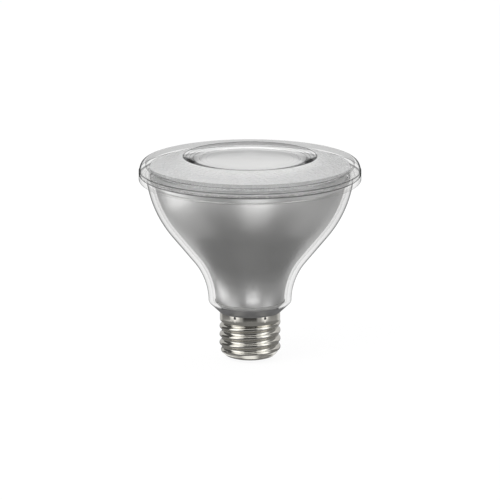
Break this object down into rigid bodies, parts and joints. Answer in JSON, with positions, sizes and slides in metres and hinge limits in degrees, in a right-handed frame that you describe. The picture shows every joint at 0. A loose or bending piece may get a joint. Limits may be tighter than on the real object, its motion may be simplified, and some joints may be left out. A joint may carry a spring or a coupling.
{
  "type": "led reflector bulb",
  "caption": "Reflector lamp with a clear flared glass bowl over a satin metal liner, a stippled domed glass lens with a clear centre window, and a right-hand screw base.",
  "frame": {"origin": "centre of the centre contact's outer face, on the lamp's axis", "axes": "+Z along the lamp's axis from the screw base to the lens; the lamp is round about Z"},
  "size_m": [0.095, 0.095, 0.0888],
  "materials": {
    "clear_glass": "polished clear pressed glass",
    "lens_glass": "clear pressed glass, stippled outside its smooth centre window",
    "clear_acrylic": "polished clear moulding",
    "sealant": "translucent silicone bead",
    "satin_aluminium": "satin spun sheet",
    "plain_aluminium": "plain mill finish",
    "white_board": "white solder mask on a metal core",
    "white_ceramic": "matt fired ceramic",
    "phosphor": "cast phosphor silicone",
    "white_plastic": "moulded, fine satin",
    "steel": "zinc plated",
    "green_board": "solder mask",
    "black_sleeve": "shrink sleeve",
    "ferrite": "ground ferrite",
    "yellow_tape": "wound insulating tape",
    "black_epoxy": "moulded epoxy",
    "film_case": "dipped case",
    "resistor_body": "lacquered",
    "red_insulation": "wire insulation",
    "black_insulation": "wire insulation",
    "grey_cement": "cast cement, matt",
    "nickel": "nickel plated, rolled thread",
    "black_insulator": "moulded insulator"
  },
  "bodies": {
    "root": {"centre_contact": "nickel", "base_insulator": "black_insulator", "screw_shell": "nickel", "neck_cement": "grey_cement", "glass_body": "clear_glass", "rim_sealant": "sealant", "front_lens": "lens_glass", "reflector_liner": "satin_aluminium", "heat_spreader": "plain_aluminium", "led_board": "white_board", "emitter_substrate": "white_ceramic", "phosphor_disc": "phosphor", "optic_holder": "white_plastic", "collimator": "clear_acrylic", "board_screws": "steel", "driver_housing": "white_plastic", "driver_board": "green_board", "bulk_capacitor": "black_sleeve", "transformer_core": "ferrite", "transformer_winding": "yellow_tape", "bridge_rectifier": "black_epoxy", "film_capacitor": "film_case", "fuse_resistor": "resistor_body", "driver_chip": "black_epoxy", "positive_lead": "red_insulation", "negative_lead": "black_insulation", "live_lead": "red_insulation", "neutral_lead": "black_insulation"}
  },
  "joints": []
}
